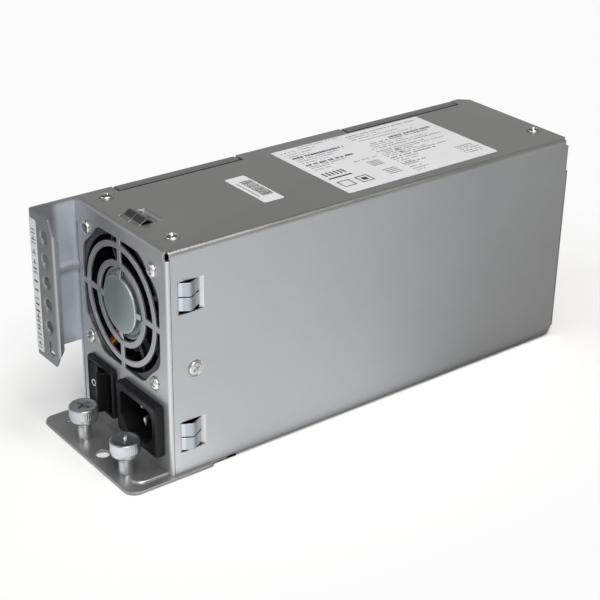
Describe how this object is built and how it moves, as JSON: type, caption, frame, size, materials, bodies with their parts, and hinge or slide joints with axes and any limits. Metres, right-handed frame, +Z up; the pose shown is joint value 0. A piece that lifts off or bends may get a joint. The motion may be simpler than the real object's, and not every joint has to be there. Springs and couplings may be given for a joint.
{
  "type": "rack power supply module",
  "caption": "Narrow plated-steel rack power module with a guarded fan, rocker switch, mains inlet, latching ear and captive thumbscrews on a front tongue.",
  "frame": {"origin": "centre of the case's footprint on the underside of the base plate", "axes": "+Z up, -Y towards the front face with fan, switch and inlet, +X towards the wrapped cover's side"},
  "size_m": [0.0732, 0.2391, 0.1022],
  "materials": {
    "aluminium": "extruded",
    "black_plastic": "moulded, fine texture",
    "black_wire": "insulation",
    "brass": "plain",
    "capacitor_sleeve": "shrink sleeve",
    "copper_wire": "enamelled",
    "fan_plastic": "moulded, satin",
    "ferrite": "sintered",
    "fuse_ceramic": "glazed",
    "hub_label": "grey-green foil label",
    "insulator": "thin film",
    "label": "off-white printed film",
    "nickel": "bright nickel plate",
    "pcb_green": "solder mask",
    "red_wire": "insulation",
    "screw_steel": "bright zinc plate",
    "steel": "satin zinc-plated sheet",
    "steel_dark": "satin zinc-plated sheet, duller",
    "tape": "polyester tape",
    "yellow_wire": "insulation"
  },
  "bodies": {
    "chassis": {"barcode_label": "label", "base_plate": "steel", "bridge_rectifier": "black_plastic", "bulk_capacitor_1": "capacitor_sleeve", "bulk_capacitor_2": "capacitor_sleeve", "fan_frame": "fan_plastic", "fan_hub_label": "hub_label", "fan_lead_black": "black_wire", "fan_lead_red": "red_wire", "fan_lead_yellow": "yellow_wire", "fan_screw_lower_left": "screw_steel", "fan_screw_lower_right": "screw_steel", "fan_screw_upper_left": "screw_steel", "fan_screw_upper_right": "screw_steel", "fan_stator": "copper_wire", "flange_label": "label", "front_panel": "steel", "fuse": "fuse_ceramic", "heatsink_primary": "aluminium", "heatsink_secondary": "aluminium", "inlet_body": "black_plastic", "inlet_pin_earth": "nickel", "inlet_pin_line": "nickel", "inlet_pin_neutral": "nickel", "insulation_sheet": "insulator", "left_side_plate": "steel", "main_pcb": "pcb_green", "output_blade_positive": "brass", "output_blade_return": "brass", "output_capacitor": "capacitor_sleeve", "output_connector": "black_plastic", "pcb_screw_1": "screw_steel", "pcb_screw_2": "screw_steel", "pcb_screw_3": "screw_steel", "pcb_screw_4": "screw_steel", "pcb_standoff_1": "brass", "pcb_standoff_2": "brass", "pcb_standoff_3": "brass", "pcb_standoff_4": "brass", "pfc_choke": "copper_wire", "rating_label": "label", "rear_panel": "steel_dark", "side_screw": "screw_steel", "switch_body": "black_plastic", "thumbscrew_ferrule_left": "nickel", "thumbscrew_ferrule_right": "nickel", "top_screw_front_left": "screw_steel", "top_screw_front_right": "screw_steel", "top_screw_rear": "screw_steel", "transformer_core": "ferrite", "transformer_winding": "tape", "wrap_cover": "steel", "x_capacitor": "tape"},
    "impeller": {"fan_impeller": "fan_plastic"},
    "rocker": {"switch_rocker": "black_plastic"},
    "left_ring": {"retaining_ring_left": "screw_steel"},
    "left_thumbscrew": {"thumbscrew_left": "nickel"},
    "right_ring": {"retaining_ring_right": "screw_steel"},
    "right_thumbscrew": {"thumbscrew_right": "nickel"}
  },
  "joints": [
    {"name": "fan_spin", "type": "hinge", "parent": "chassis", "child": "impeller", "pos_m": [-0.0005, -0.0965, 0.0651], "axis": [0, 1, 0], "continuous": true},
    {"name": "rocker_tip", "type": "hinge", "parent": "chassis", "child": "rocker", "pos_m": [-0.0164, -0.1033, 0.0203], "axis": [0, 0, 1], "range_deg": [0, 30]},
    {"name": "left_thumbscrew_travel", "type": "slide", "parent": "chassis", "child": "left_ring", "axis": [0, 0, -1], "range_m": [0, 0.005]},
    {"name": "left_thumbscrew_turn", "type": "hinge", "parent": "left_ring", "child": "left_thumbscrew", "pos_m": [-0.013, -0.1212, 0.008], "axis": [0, 0, 1], "continuous": true},
    {"name": "right_thumbscrew_travel", "type": "slide", "parent": "chassis", "child": "right_ring", "axis": [0, 0, -1], "range_m": [0, 0.005]},
    {"name": "right_thumbscrew_turn", "type": "hinge", "parent": "right_ring", "child": "right_thumbscrew", "pos_m": [0.0202, -0.1212, 0.008], "axis": [0, 0, 1], "continuous": true}
  ]
}
